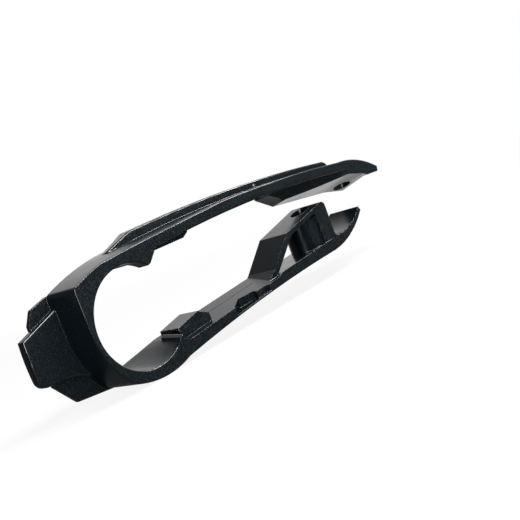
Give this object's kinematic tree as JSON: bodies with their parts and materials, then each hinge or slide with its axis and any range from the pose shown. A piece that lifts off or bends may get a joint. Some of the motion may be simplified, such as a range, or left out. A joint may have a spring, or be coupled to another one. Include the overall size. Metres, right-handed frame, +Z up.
{
  "type": "motorcycle chain guide",
  "caption": "Hairpin-shaped moulded chain guide that wraps a swing arm: a ribbed upper leg carries the chain, a lower leg has a hollow screw tower, and a fin reaches forward.",
  "frame": {"origin": "on the axis of the bend, where the swing arm's pivot lies, halfway across the width of the legs", "axes": "+X rearward along the legs, +Y from the outer side to the inner side, +Z up towards the upper leg"},
  "size_m": [0.2733, 0.027, 0.072],
  "materials": {
    "moulded_plastic": "fine grain on the outer side, satin on the other faces"
  },
  "bodies": {
    "root": {"chain_guide": "moulded_plastic"}
  },
  "joints": []
}
